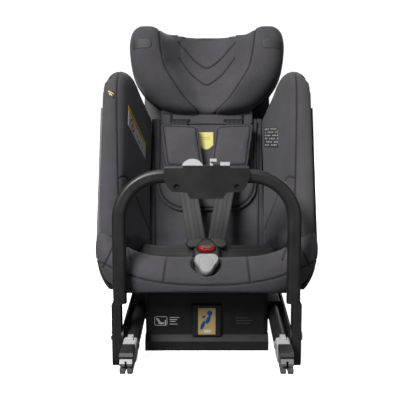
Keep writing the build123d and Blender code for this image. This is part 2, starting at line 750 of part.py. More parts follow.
def headrest_cushion():
    half = [(150, -4), (162.5, 18), (162.5, HEAD_N), (128, HEAD_N), (92, 36)]
    cushion = extrude(across(half), -(HEAD_TOP_A - HEAD_LOW_A))
    skirt = block(-98, 98, 288, HEAD_LOW_A, 19, 34)
    return BACK * (Pos(0, HEAD_LOW_A, 0) * cushion + skirt)


def shoulder_pad():
    pad = block(PAD_X - PAD_HALF_W, PAD_X + PAD_HALF_W, PAD_LOW_A, PAD_TOP_A, 42, 56)
    return BACK * fillet(pad.edges().filter_by(Axis.Z), 9)


def shoulder_strap():
    """From the slot under the headrest to the shoulder pad."""
    strap = block(PAD_X - STRAP_W / 2, PAD_X + STRAP_W / 2, PAD_TOP_A + 0.5, 287, 35, 35 + STRAP_T)
    return BACK * strap


def headrest_tab():
    """Thin strip sewn to the front of the headrest's wing."""
    tab = block(126, 160, 402, 420, HEAD_N + 0.4, HEAD_N + 3)
    return BACK * fillet(tab.edges().filter_by(Axis.Z), 4)


def headrest_carrier():
    return BACK * block(-84, 84, CARRIER_LOW_A, 424, -38, -11)


def headrest_posts():
    low = 150.0
    post = Cylinder(POST_R, CARRIER_LOW_A - low)
    middle = (low + CARRIER_LOW_A) / 2
    return Compound([BACK * (Pos(x, middle, POST_N) * Rot(90, 0, 0) * post) for x in (-POST_X, POST_X)])


def headrest_lever():
    lever = block(-26, 26, 425, 446, -34, -14)
    return BACK * fillet(lever.edges().filter_by(Axis.X), 3)


save("headrest_shell", headrest_shell())
save("headrest_cushion", headrest_cushion())
save("headrest_carrier", headrest_carrier())
save("headrest_posts", headrest_posts())
save("headrest_lever", headrest_lever())
twins("headrest_tabs", headrest_tab())
pair("shoulder_pad", shoulder_pad())
twins("shoulder_straps", shoulder_strap())
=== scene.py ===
import math

import bmesh
import bpy
import numpy as np
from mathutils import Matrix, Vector
from mathutils.bvhtree import BVHTree

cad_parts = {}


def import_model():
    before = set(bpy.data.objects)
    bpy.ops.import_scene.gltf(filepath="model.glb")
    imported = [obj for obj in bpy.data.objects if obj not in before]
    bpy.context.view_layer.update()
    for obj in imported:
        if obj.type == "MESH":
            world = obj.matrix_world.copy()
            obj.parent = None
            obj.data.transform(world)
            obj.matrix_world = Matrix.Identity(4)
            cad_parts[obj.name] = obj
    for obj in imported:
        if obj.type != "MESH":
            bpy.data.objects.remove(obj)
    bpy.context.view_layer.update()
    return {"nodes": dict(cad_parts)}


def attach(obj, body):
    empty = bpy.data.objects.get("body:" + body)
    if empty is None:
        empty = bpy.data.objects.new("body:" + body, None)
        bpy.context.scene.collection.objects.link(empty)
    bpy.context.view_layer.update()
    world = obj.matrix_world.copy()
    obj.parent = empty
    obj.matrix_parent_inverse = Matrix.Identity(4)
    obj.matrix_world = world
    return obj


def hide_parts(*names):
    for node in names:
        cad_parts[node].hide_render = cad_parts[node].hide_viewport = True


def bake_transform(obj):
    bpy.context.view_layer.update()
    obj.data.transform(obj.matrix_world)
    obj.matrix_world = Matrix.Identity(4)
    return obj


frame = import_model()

NODES = frame["nodes"]

# Lengths are millimetres in the seat's frame until a mesh is made.
MM = 0.001
RECLINE = math.radians(27)
BIGHT = np.array([0.0, -20.0, 165.0])
UP_BACK = np.array([0.0, math.sin(RECLINE), math.cos(RECLINE)])
OFF_BACK = np.array([0.0, -math.cos(RECLINE), math.sin(RECLINE)])
ACROSS = np.array([1.0, 0.0, 0.0])
SIDES = {-1: "left", 1: "right"}


def tilted_frame(origin, along, out):
    """A function that gives the world places of (across, along, out) points."""

    def world(points):
        p = np.asarray(points, float)
        return origin + p[..., :1] * ACROSS + p[..., 1:2] * along + p[..., 2:3] * out

    return world


on_back = tilted_frame(BIGHT, UP_BACK, OFF_BACK)  # (x, up the back, out from the back)


def from_back(world):
    """(x, up the back, out from the back) of world places."""
    rel = np.asarray(world, float) - BIGHT
    return np.stack([rel[..., 0], rel @ UP_BACK, rel @ OFF_BACK], axis=-1)


# ---- mesh helpers
def unit(vectors):
    return vectors / np.linalg.norm(vectors, axis=1, keepdims=True)


def run_along(line):
    """Length of a line up to each of its points."""
    return np.concatenate([[0], np.cumsum(np.linalg.norm(np.diff(line, axis=0), axis=1))])


def spline(points, count, closed=False):
    """A smooth curve through the points, evenly spaced along its length."""
    p = np.asarray(points, float)
    n = len(p)
    if closed:
        idx = np.arange(-1, n + 2) % n
        ext = p[idx]
        spans = n
    else:
        ext = np.vstack([2 * p[0] - p[1], p, 2 * p[-1] - p[-2]])
        spans = n - 1
    t = np.linspace(0, 1, 24, endpoint=False)[:, None]
    parts = []
    for i in range(spans):
        a, b, c, d = ext[i], ext[i + 1], ext[i + 2], ext[i + 3]
        parts.append(
            0.5 * (2 * b + (c - a) * t + (2 * a - 5 * b + 4 * c - d) * t**2 + (3 * b - a - 3 * c + d) * t**3)
        )
    dense = np.vstack(parts + [p[:1] if closed else p[-1:]])
    run = run_along(dense)
    want = np.linspace(0, run[-1], count + 1 if closed else count)
    even = np.stack([np.interp(want, run, dense[:, k]) for k in range(p.shape[1])], axis=1)
    return even[:-1] if closed else even


def between(keys, values, at):
    """Smooth values between keyed ones, on a cubic with the keys' own slopes."""
    keys, values = np.asarray(keys, float), np.asarray(values, float)
    at = np.asarray(at, float)
    slopes = np.gradient(values, keys)
    i = np.clip(np.searchsorted(keys, at) - 1, 0, len(keys) - 2)
    h = keys[i + 1] - keys[i]
    t = np.clip((at - keys[i]) / h, 0, 1)
    a = 2 * t**3 - 3 * t**2 + 1
    b = t**3 - 2 * t**2 + t
    c = 1 - a
    d = t**3 - t**2
    return a * values[i] + b * h * slopes[i] + c * values[i + 1] + d * h * slopes[i + 1]


def add_object(name, data):
    obj = bpy.data.objects.new(name, data)
    bpy.context.scene.collection.objects.link(obj)
    return obj


def new_object(name, verts, faces, smooth=True):
    """A mesh object from places in millimetres."""
    mesh = bpy.data.meshes.new(name)
    mesh.from_pydata([tuple(v) for v in np.asarray(verts) * MM], [], faces)
    mesh.validate()
    bm = bmesh.new()
    bm.from_mesh(mesh)
    bmesh.ops.recalc_face_normals(bm, faces=bm.faces)
    bm.to_mesh(mesh)
    bm.free()
    for poly in mesh.polygons:
        poly.use_smooth = smooth
    return add_object(name, mesh)


def loft(name, rings, closed=False, smooth=True):
    """A closed skin over rings of equal counts, its two ends capped."""
    rings = np.asarray(rings)
    m, n = rings.shape[:2]
    faces = []
    for i in range(m if closed else m - 1):
        for j in range(n):
            k, i2 = (j + 1) % n, (i + 1) % m
            faces.append((i * n + j, i * n + k, i2 * n + k, i2 * n + j))
    verts = rings.reshape(-1, 3)
    if not closed:
        first, last = len(verts), len(verts) + 1
        verts = np.vstack([verts, rings[0].mean(axis=0), rings[-1].mean(axis=0)])
        for j in range(n):
            k = (j + 1) % n
            faces.append((first, k, j))
            faces.append((last, (m - 1) * n + j, (m - 1) * n + k))
    return new_object(name, verts, faces, smooth)


def apply_modifiers(obj):
    """Bake a piece's modifiers into its mesh."""
    depsgraph = bpy.context.evaluated_depsgraph_get()
    baked = bpy.data.meshes.new_from_object(obj.evaluated_get(depsgraph))
    old = obj.data
    obj.modifiers.clear()
    obj.data = baked
    bpy.data.meshes.remove(old)
    for poly in obj.data.polygons:
        poly.use_smooth = True


def vertex_data(obj, what):
    flat = np.empty(len(obj.data.vertices) * 3)
    obj.data.vertices.foreach_get(what, flat)
    return flat.reshape(-1, 3)


def coords(obj):
    """Vertex places in millimetres."""
    return vertex_data(obj, "co") / MM


def set_coords(obj, places):
    obj.data.vertices.foreach_set("co", (np.asarray(places) * MM).ravel())
    obj.data.update()


def store(obj, label, values):
    """Keep one number for each vertex, for a material to read."""
    layer = obj.data.attributes.new(label, "FLOAT", "POINT")
    layer.data.foreach_set("value", values)


def modify(obj, kind, **settings):
    """Add a modifier and bake it in."""
    mod = obj.modifiers.new(kind, kind)
    for key, value in settings.items():
        setattr(mod, key, value)
    apply_modifiers(obj)


def puff(obj, voxel=5.0, cap=8.0, pressure=4.0, frames=20):
    """Inflate a padded piece with cloth simulation, each point moving by no more than cap."""
    modify(obj, "REMESH", mode="VOXEL", voxel_size=voxel * MM)
    before = coords(obj)
    cloth = obj.modifiers.new("Cloth", "CLOTH")
    cloth.settings.quality = 5
    cloth.settings.use_pressure = True
    cloth.settings.uniform_pressure_force = pressure
    cloth.settings.effector_weights.gravity = 0
    cloth.settings.tension_stiffness = 20
    cloth.settings.compression_stiffness = 20
    cloth.settings.shear_stiffness = 10
    cloth.settings.bending_stiffness = 2
    cloth.point_cache.frame_start = 1
    cloth.point_cache.frame_end = frames
    scene = bpy.context.scene
    for number in range(1, frames + 1):
        scene.frame_set(number)
    depsgraph = bpy.context.evaluated_depsgraph_get()
    swollen = obj.evaluated_get(depsgraph)
    moved = coords(swollen) - before
    obj.modifiers.clear()
    scene.frame_set(1)
    reach = np.linalg.norm(moved, axis=1, keepdims=True)
    moved *= np.minimum(1.0, cap / np.maximum(reach, 1e-9))
    set_coords(obj, before + moved)


def relax(obj, times):
    modify(obj, "SMOOTH", iterations=times, factor=0.5)


def refine(obj):
    modify(obj, "SUBSURF", levels=1, render_levels=1)


def sew(obj, seams, depth=1.6, width=2.0):
    """Press seams into a padded piece.

    Each seam is a function of the vertex places that gives the distance from the seam in
    millimetres.  The seam attribute darkens the thread line in the fabric's material.
    """
    places = coords(obj)
    out = vertex_data(obj, "normal")
    line = np.zeros(len(places))
    for seam in seams:
        line = np.maximum(line, np.exp(-((seam(places) / width) ** 2)))
    set_coords(obj, places - out * (line * depth)[:, None])
    store(obj, "seam", line)


def away(places, path):
    """Distance of each place from a polyline, in the columns that the polyline has."""
    path = np.asarray(path, float)
    best = np.full(len(places), 1e9)
    for a, b in zip(path[:-1], path[1:]):
        ab = b - a
        t = np.clip(((places - a) @ ab) / max(ab @ ab, 1e-9), 0, 1)
        best = np.minimum(best, np.linalg.norm(places - (a + t[:, None] * ab), axis=1))
    return best


def seam_on_back(path, n_range=None, count=40, closed=False):
    """A seam that follows (x, up the back) points over whatever faces forward there."""
    line = spline(path, count, closed) if len(path) > 2 else np.asarray(path, float)

    def measure(places):
        local = from_back(places)
        gap = away(local[:, :2], line)
        if n_range:
            gap = gap + 50.0 * ((local[:, 2] < n_range[0]) | (local[:, 2] > n_range[1]))
        return gap

    return measure


def mirrored(path):
    return [(-p[0], *p[1:]) for p in path]


# ---- materials
class Shader:
    """One material, with short ways to add its nodes and join them to its surface."""

    def __init__(self, name):
        self.mat = bpy.data.materials.new(name)
        self.mat.use_nodes = True
        self.nodes = self.mat.node_tree.nodes
        self.links = self.mat.node_tree.links

    def join(self, value, socket):
        """Link a socket to another, or set it to a plain value."""
        if isinstance(value, bpy.types.NodeSocket):
            self.links.new(value, socket)
        else:
            socket.default_value = value

    def surface(self, values):
        for label, value in values.items():
            self.join(value, self.nodes["Principled BSDF"].inputs[label])

    def node(self, kind, **inputs):
        """A new node, its inputs set or linked by their labels."""
        node = self.nodes.new("ShaderNode" + kind)
        for label, value in inputs.items():
            self.join(value, node.inputs[label])
        return node

    def place(self):
        return self.nodes.new("ShaderNodeTexCoord").outputs["Object"]

    def attribute(self, name):
        node = self.nodes.new("ShaderNodeAttribute")
        node.attribute_name = name
        return node.outputs["Fac"]

    def noise(self, scale, detail, rough=0.5):
        node = self.node("TexNoise", Scale=scale, Detail=detail, Roughness=rough, Vector=self.place())
        return node.outputs["Fac"]

    def ramp(self, source, stops):
        node = self.node("ValToRGB", Fac=source)
        for element, (at, colour) in zip(node.color_ramp.elements, stops):
            element.position = at
            element.color = (*colour, 1)
        return node.outputs["Color"]

    def maths(self, operation, *values):
        node = self.nodes.new("ShaderNodeMath")
        node.operation = operation
        for socket, value in zip(node.inputs, values):
            self.join(value, socket)
        return node.outputs["Value"]

    def weighted(self, *terms):
        """The sum of terms, each an output and its weight."""
        total = self.maths("MULTIPLY", *terms[0])
        for term in terms[1:]:
            total = self.maths("ADD", total, self.maths("MULTIPLY", *term))
        return total

    def mix(self, mask, under, over):
        node = self.nodes.new("ShaderNodeMix")
        node.data_type = "RGBA"
        self.join(mask, node.inputs["Factor"])
        self.join(under, node.inputs[6])
        node.inputs[7].default_value = (*over, 1)
        return node.outputs[2]

    def bump(self, height, strength, distance):
        node = self.node("Bump", Strength=strength, Distance=distance, Height=height)
        self.surface({"Normal": node.outputs["Normal"]})


def grey(value, tint=(1.0, 1.0, 1.0)):
    return scaled(tint, value)


def scaled(colour, factor):
    return tuple(factor * c for c in colour)


def fabric_material(name, dark, light, stitch=1100, seam_dark=0.95):
    """Fine melange knit: small stitches, fibre noise, a soft sheen, darker along its seams."""
    shader = Shader(name)
    cells = shader.node("TexVoronoi", Scale=stitch, Randomness=0.55, Vector=shader.place())
    stitches = shader.maths("SUBTRACT", 1.0, cells.outputs["Distance"])
    fibre = shader.noise(1500, 2, 0.7)
    patch = shader.noise(22, 3, 0.5)
    shade = shader.weighted((fibre, 0.6), (stitches, 0.2), (patch, 0.2))
    colour = shader.ramp(shade, [(0.34, dark), (0.7, light)])
    seam = shader.maths("MULTIPLY", shader.attribute("seam"), seam_dark)
    rough = shader.maths("ADD", shader.maths("MULTIPLY", fibre, 0.15), 0.78)
    shader.surface({"Base Color": shader.mix(seam, colour, scaled(dark, 0.2)), "Roughness": rough})
    shader.surface({"Sheen Weight": 0.12, "Sheen Roughness": 0.45, "Specular IOR Level": 0.2})
    height = shader.maths("ADD", stitches, shader.maths("MULTIPLY", fibre, 0.6))
    shader.bump(height, 0.3, 0.0003)
    return shader.mat


def plastic_material(name, base, rough=0.45, grain=0.25, spread=0.25, scale=900):
    """Moulded plastic with a fine spark-eroded grain and slight unevenness of colour and gloss."""
    shader = Shader(name)
    fine = shader.noise(scale, 2, 0.6)
    broad = shader.noise(25, 2, 0.5)
    stops = [(0.35, scaled(base, 1 - spread)), (0.65, scaled(base, 1 + spread))]
    gloss = shader.maths("ADD", shader.maths("MULTIPLY", broad, 0.16), rough - 0.08)
    colour = shader.ramp(shader.weighted((fine, 0.4), (broad, 0.6)), stops)
    shader.surface({"Base Color": colour, "Roughness": gloss})
    shader.bump(fine, grain, 0.0002)
    return shader.mat


def metal_material(name, base, rough=0.35, streak=0.2, metallic=1.0):
    """Drawn or brushed metal: stretched scratches along Y and a little tarnish."""
    shader = Shader(name)
    stretch = shader.node("Mapping", Scale=(900, 30, 900), Vector=shader.place())
    lines = shader.node("TexNoise", Scale=1.0, Detail=2.0, Vector=stretch.outputs["Vector"])
    colour = shader.ramp(shader.noise(40, 3, 0.5), [(0.3, scaled(base, 0.8)), (0.7, base)])
    gloss = shader.maths("ADD", shader.maths("MULTIPLY", lines.outputs["Fac"], streak), rough - streak / 2)
    shader.surface({"Base Color": colour, "Metallic": metallic, "Roughness": gloss})
    shader.bump(lines.outputs["Fac"], 0.12, 0.0001)
    return shader.mat


def webbing_material(name, dark, light):
    """Woven belt: the weave comes from the across and along attributes, in millimetres."""
    shader = Shader(name)
    across = shader.attribute("across")
    along = shader.attribute("along")

    def wave(source, pitch):
        return shader.maths("SINE", shader.maths("MULTIPLY", source, math.pi / pitch))

    weave = shader.maths("MULTIPLY", wave(across, 0.8), wave(along, 1.1))
    panel = shader.maths("ABSOLUTE", wave(across, 9.5))
    shade = shader.weighted((weave, 0.12), (shader.noise(1500, 2, 0.6), 0.5), (panel, 0.3))
    colour = shader.ramp(shade, [(0.2, dark), (0.65, light)])
    shader.surface({"Base Color": colour, "Roughness": 0.6, "Sheen Weight": 0.08})
    shader.bump(shader.maths("ADD", shader.maths("MULTIPLY", weave, 0.5), panel), 0.5, 0.0004)
    return shader.mat


COVER_TINT = (1.0, 0.955, 1.09)
PAD_TINT = (1.0, 0.955, 1.08)
FABRIC = fabric_material("cover_knit", grey(0.036, COVER_TINT), grey(0.088, COVER_TINT))
FABRIC_PAD = fabric_material("pad_knit", grey(0.038, PAD_TINT), grey(0.092, PAD_TINT), stitch=800)
# Near-black knit used only on the strap slots: painted shade inside the slot openings.
SLOT_SHADE = fabric_material("painted_slot_shade", grey(0.008), grey(0.02), stitch=600)
BLACK_PLASTIC = plastic_material("base_moulding", grey(0.011), rough=0.5, scale=700)
SHELL_PLASTIC = plastic_material("shell_moulding", grey(0.016), rough=0.5, scale=700)
ARCH_PLASTIC = plastic_material("arch_moulding", grey(0.013), rough=0.42, scale=1100)
GREY_PLASTIC = plastic_material("connector_moulding", grey(0.42), rough=0.45, spread=0.06)
KNOB_PLASTIC = plastic_material("knob_moulding", grey(0.27), rough=0.5, spread=0.05)
WHITE_PLASTIC = plastic_material("control_moulding", grey(0.5), rough=0.45, spread=0.04)
RED_PLASTIC = plastic_material("button_moulding", (0.5, 0.012, 0.012), rough=0.35, spread=0.1)
BUTTON_TOP = plastic_material("button_top", (0.02, 0.006, 0.006), rough=0.3, spread=0.4)
TAB_PLASTIC = plastic_material("tab_rubber", grey(0.035), rough=0.6)
STEEL = metal_material("bright_steel", grey(0.6), rough=0.3)
CLAW_STEEL = metal_material("claw_steel", grey(0.22), rough=0.4, metallic=0.5)
JAW_STEEL = metal_material("jaw_steel", grey(0.03), rough=0.4, metallic=0.5)
DARK_STEEL = metal_material("coated_steel", grey(0.03), rough=0.45, metallic=0.4)
RAIL_METAL = metal_material("anodised_rail", grey(0.07), rough=0.5, metallic=0.3)
WEBBING = webbing_material("harness_webbing", grey(0.011), grey(0.032))


def dress(obj, mat):
    obj.data.materials.clear()
    obj.data.materials.append(mat)


def dress_node(mat, *names):
    """A better material for CAD pieces whose shape is right."""
    for name in names:
        obj = NODES[name]
        if not obj.data.materials:
            obj.data.materials.append(mat)
        for slot in obj.material_slots:
            slot.link = "OBJECT"
            slot.material = mat


def place(obj, body, mat, replaced=()):
    dress(obj, mat)
    if body:
        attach(obj, body)
    if replaced:
        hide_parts(*replaced)


def both_sides(points):
    """A closed outline from its +X half, the other half mirrored."""
    return points + [(-x, y) for x, y in reversed(points)]


# ---- headrest
HEAD_SHAPE = {  # at heights up the back: half-widths and depths of the section
    "a": [296, 308, 325, 350, 380, 410, 440, 470],
    "outer": [46, 94, 126, 151, 166, 171, 171, 162],
    "seam": [14, 29, 51, 71, 91, 99, 103, 106],
    "rim": [44, 57, 74, 94, 110, 122, 132, 139],
    "panel": [38, 37, 36, 35, 34, 34, 36, 38],
}
HEAD_BACK_N = -3.0
HEAD_LOW, HEAD_TALL = 309.0, 161.0  # the top's tilt grows over this height
TOP_SLOPE, RIM_DEPTH = 0.185, 136.0


def head_sizes(a):
    return {key: float(between(HEAD_SHAPE["a"], HEAD_SHAPE[key], a)) for key in HEAD_SHAPE if key != "a"}


def head_ring(a, inset=0.0, count=120):
    """The headrest's section at one height: a panel with a deep padded wing at each side."""
    s = head_sizes(a)
    outer, seam, rim, panel = s["outer"], s["seam"], s["rim"], s["panel"]
    face = outer - seam
    half = [
        (0, panel),
        (0.3 * seam, panel + 0.05 * (rim - panel)),
        (0.58 * seam, panel + 0.24 * (rim - panel)),
        (0.82 * seam, panel + 0.56 * (rim - panel)),
        (seam - 3, panel + 0.88 * (rim - panel)),
        (seam + 4, rim),
        (seam + 0.35 * face, rim + 5),
        (outer - 0.27 * face, rim + 2),
        (outer - 4, rim - 0.13 * (rim - HEAD_BACK_N)),
        (outer, rim - 0.32 * (rim - HEAD_BACK_N)),
        (outer - 2, 0.4 * rim),
        (outer * 0.9 - 4, 4),
        (0.7 * outer, HEAD_BACK_N),
        (0, HEAD_BACK_N),
    ]
    ring = spline(half + [(-x, n) for x, n in reversed(half[1:-1])], count, closed=True)
    if inset:
        tangent = np.roll(ring, -1, axis=0) - np.roll(ring, 1, axis=0)
        inward = np.stack([-tangent[:, 1], tangent[:, 0]], axis=1)
        inward /= np.maximum(np.linalg.norm(inward, axis=1, keepdims=True), 1e-9)
        area = np.sum(ring[:, 0] * np.roll(ring[:, 1], -1) - ring[:, 1] * np.roll(ring[:, 0], -1))
        ring = ring + inward * np.sign(area) * inset
    return ring


def head_station(a, ring):
    """Tilt the top of the headrest: it rises from the wings' rims back to the middle."""
    grow = np.clip((a - HEAD_LOW) / HEAD_TALL, 0, 1)
    rise = TOP_SLOPE * (RIM_DEPTH - ring[:, 1]) * grow - 1.0
    return on_back(np.column_stack([ring[:, 0], a + rise, ring[:, 1]]))


def closing_rings(ring):
    """Rings that draw the front and back of a section together, to close a bowl's end evenly."""
    partner = ring[(len(ring) // 2 - np.arange(len(ring))) % len(ring)]
    return [ring + part * (partner - ring) / 2 for part in (0.35, 0.7, 0.95)]


def headrest_cushion():
    rings = []
    top, low = 466.0, 301.0
    round_r = 11.0
    for step in range(7):
        turn = math.pi / 2 * (1 - step / 7)
        at = low + round_r * (1 - math.sin(turn))
        rings.append(head_station(at, head_ring(at, round_r * (1 - math.cos(turn)))))
    for a in np.linspace(low + round_r, top - round_r, 30):
        rings.append(head_station(a, head_ring(a)))
    for step in range(1, 8):
        turn = math.pi / 2 * step / 7
        at = top - round_r * (1 - math.sin(turn))
        rings.append(head_station(at, head_ring(at, round_r * (1 - math.cos(turn)))))
    rings = closing_rings(rings[0])[::-1] + rings + closing_rings(rings[-1])
    obj = loft("headrest_cover", rings)
    puff(obj, voxel=4.5, cap=3.0, pressure=2.5)
    relax(obj, 8)
    refine(obj)
    side = [(106, 474), (103, 440), (99, 410), (91, 380), (71, 350), (50, 325), (29, 308), (18, 300)]
    chevron_high = [(64, 458), (50, 447), (34, 431), (14, 415), (0, 409)]
    chevron_low = [(62, 421), (50, 408), (36, 392), (14, 374), (0, 367)]

    fronts = (22, 160)
    seams = [seam_on_back(side, fronts), seam_on_back(mirrored(side), fronts)]
    for chevron in (chevron_high, chevron_low):
        seams.append(seam_on_back(chevron + mirrored(chevron[:-1])[::-1], fronts))
    sew(obj, seams, depth=2.0, width=1.7)
    return obj


def headrest_back():
    """Moulded shell that holds the cushion from behind."""
    rings = []
    for a in np.linspace(316, 452, 24):
        s = head_sizes(a)
        outer, edge = s["outer"], 0.45 * s["rim"]
        half = [
            (0, HEAD_BACK_N - 6),
            (0.7 * outer, HEAD_BACK_N - 6),
            (outer * 0.9 - 1, -2),
            (outer - 1, 0.25 * s["rim"]),
            (outer + 1.5, edge),
            (outer - 1, edge + 2),
            (outer - 4, 0.25 * s["rim"]),
            (outer * 0.88 - 4, 6),
            (0.68 * outer, HEAD_BACK_N + 1),
            (0, HEAD_BACK_N + 1),
        ]
        ring = spline(half + [(-x, n) for x, n in reversed(half[1:-1])], 140, closed=True)
        rings.append(head_station(a, ring))
    return loft("headrest_back_shell", rings)


head_cover = headrest_cushion()
place(head_cover, "headrest", FABRIC, ["headrest_cushion"])
place(headrest_back(), "headrest", SHELL_PLASTIC, ["headrest_shell"])


# ---- flat pieces laid on fabric
def laid_on(name, target, corner, heading, columns=18, rows=14, lift=0.5, sink=0.6, keep=None):
    """A thin patch that follows the surface of another piece.

    corner gives a world place for u and v from 0 to 1; each place is dropped along heading onto
    the target.  u and v are kept as attributes for the patch's material.
    """
    tree = BVHTree.FromObject(target, bpy.context.evaluated_depsgraph_get())
    aim = Vector(heading).normalized()
    front, back, uv = [], [], []
    for v in np.linspace(0, 1, rows):
        for u in np.linspace(0, 1, columns):
            u_kept, v_kept = keep(u, v) if keep else (u, v)
            start = Vector(corner(u_kept, v_kept)) * MM
            hit = tree.ray_cast(start, aim)[0] or tree.find_nearest(start)[0]
            spot = np.array(hit) / MM
            front.append(spot - np.array(aim) * lift)
            back.append(spot + np.array(aim) * sink)
            uv.append((u_kept, v_kept))
    count = rows * columns
    faces = []
    for j in range(rows - 1):
        for i in range(columns - 1):
            k = j * columns + i
            quad = (k, k + 1, k + columns + 1, k + columns)
            faces += [quad, tuple(count + q for q in reversed(quad))]
    rim = (
        [i for i in range(columns)]
        + [j * columns + columns - 1 for j in range(1, rows)]
        + [(rows - 1) * columns + i for i in range(columns - 2, -1, -1)]
        + [j * columns for j in range(rows - 2, 0, -1)]
    )
    faces += [(a, b, count + b, count + a) for a, b in zip(rim, rim[1:] + rim[:1])]
    obj = new_object(name, front + back, faces)
    uv = np.array(uv + uv)
    store(obj, "u", uv[:, 0])
    store(obj, "v", uv[:, 1])
    return obj


def stadium(u, v):
    """Pull a patch's u in near v = 0 and 1, so that one end is round."""
    bulge = math.sqrt(max(0.0, 1 - (2 * v - 1) ** 2))
    return u * (0.78 + 0.22 * bulge), v


def head_tab(side):
    corner = lambda u, v: on_back([side * (162 - 42 * u), 415 + 18 * v, 190])
    return laid_on(f"headrest_tab_{SIDES[side]}", head_cover, corner, -OFF_BACK, lift=0.7, keep=stadium)


for side in (-1, 1):
    place(head_tab(side), "headrest", TAB_PLASTIC, ["headrest_tabs"] if side < 0 else ())


# ---- side wings of the bucket
WING_OUTLINE = [  # depth in front of the back, height up it
    (3, -14), (2, 120), (2, 286), (10, 299), (40, 313), (90, 337), (130, 350), (158, 349), (182, 339),
    (199, 319), (204, 290), (203, 180), (202, 40), (200, -4), (190, -20), (120, -24), (60, -22),
    (16, -20),
]


def wing_inner(n):
    """How far out the wing's inner wall lies at each depth."""
    return between([0, 16, 40, 80, 130, 165, 185, 203], [127, 126, 132, 143, 156, 165, 171, 176], n)


def wing_outer(n, a):
    """Inside the shell behind, over the shell's edge in front and on top."""
    edge = np.minimum(189 - n, 312 + 0.12 * n - a)
    over = np.clip((7 - edge) / 12, 0, 1)
    return 189.5 + (214.5 - 189.5) * over * over * (3 - 2 * over)


def wing_pad(side):
    outline = spline(WING_OUTLINE, 190, closed=True)
    middle = np.array([100.0, 170.0])
    inward = unit(middle - outline)
    stations = [(middle + (outline - middle) * s, 0.0) for s in np.linspace(0.04, 0.93, 26)]
    for turn in np.linspace(-math.pi / 2, math.pi / 2, 13):
        stations.append((outline + inward * 13 * (1 - math.cos(turn)), 0.5 + 0.5 * math.sin(turn)))
    stations += [(middle + (outline - middle) * s, 1.0) for s in np.linspace(0.93, 0.04, 26)]
    rings = []
    for flat, across in stations:
        n, a = flat[:, 0], flat[:, 1]
        x = wing_inner(n) + (wing_outer(n, a) - wing_inner(n)) * across
        drop = np.clip((x - 180) / 33, 0, 1) ** 2 * 17 * np.clip((a - 280) / 66, 0, 1)
        rings.append(on_back(np.column_stack([side * x, a - drop, n])))
    obj = loft(f"wing_cover_{SIDES[side]}", rings)
    puff(obj, voxel=4.5, cap=3.0, pressure=2.0)
    relax(obj, 10)
    refine(obj)
    rim = [(side * x, a) for x, a in ((184, 352), (183, 320), (182, 250), (178, 150), (172, 40), (166, -20))]

    def wall_seam(places):
        """Across the inner wall from the rim down and back."""
        local = from_back(places)
        inner = np.abs(local[:, 0]) < 174
        path = spline([(196, 104), (168, 112), (120, 92), (70, 58), (20, 26)], 40)
        return away(local[:, [2, 1]], path) + 60.0 * ~inner

    sew(obj, [seam_on_back(rim, (120, 230)), wall_seam], depth=1.8, width=1.6)
    return obj


wings = {}
for side, word in SIDES.items():
    wings[side] = wing_pad(side)
    place(wings[side], "shell", FABRIC, [f"wing_pad_{word}"])


# ---- front roll
ROLL_PATH = [  # x, y, z of the roll's middle, half-depth, half-height
    (0, -233, 165, 37, 40), (60, -232, 165, 37, 40), (112, -228, 168, 36, 40),
    (150, -218, 174, 34, 41), (178, -207, 187, 30, 43), (193, -198, 202, 26, 46),
    (200, -188, 216, 22, 42), (203, -176, 224, 16, 32),
]
ROLL_SECTION = [  # outward, up, in half-sizes
    (-0.62, 0.96), (0.0, 1.0), (0.6, 0.8), (0.93, 0.36), (1.0, -0.05), (0.9, -0.5), (0.62, -0.86),
    (0.2, -1.0), (-0.12, -0.95), (-0.16, -0.55), (-0.6, -0.45), (-0.96, -0.2), (-1.0, 0.3),
    (-0.88, 0.78),
]
ROCK_AXIS = np.array([-60.0, 555.0])  # y, z of the axis the shell rocks about
ROLL_REACH = 453.0
KNOB_PLACE = np.array([0.0, -240.0, 200.0])
KNOB_UP = np.array([0.0, -0.6, 0.8])


def roll_level(x):
    """Height of the seam that runs round the roll's front."""
    return 166 + 18 * np.clip(np.abs(x) / 160, 0, 1.25) ** 2.2


def keep_off_the_cradle(obj):
    """Hold the roll's underside inside the circle that the shell rocks on."""
    places = coords(obj)
    rel = places[:, 1:] - ROCK_AXIS
    reach = np.linalg.norm(rel, axis=1, keepdims=True)
    places[:, 1:] = ROCK_AXIS + rel * np.minimum(1.0, ROLL_REACH / reach)
    set_coords(obj, places)


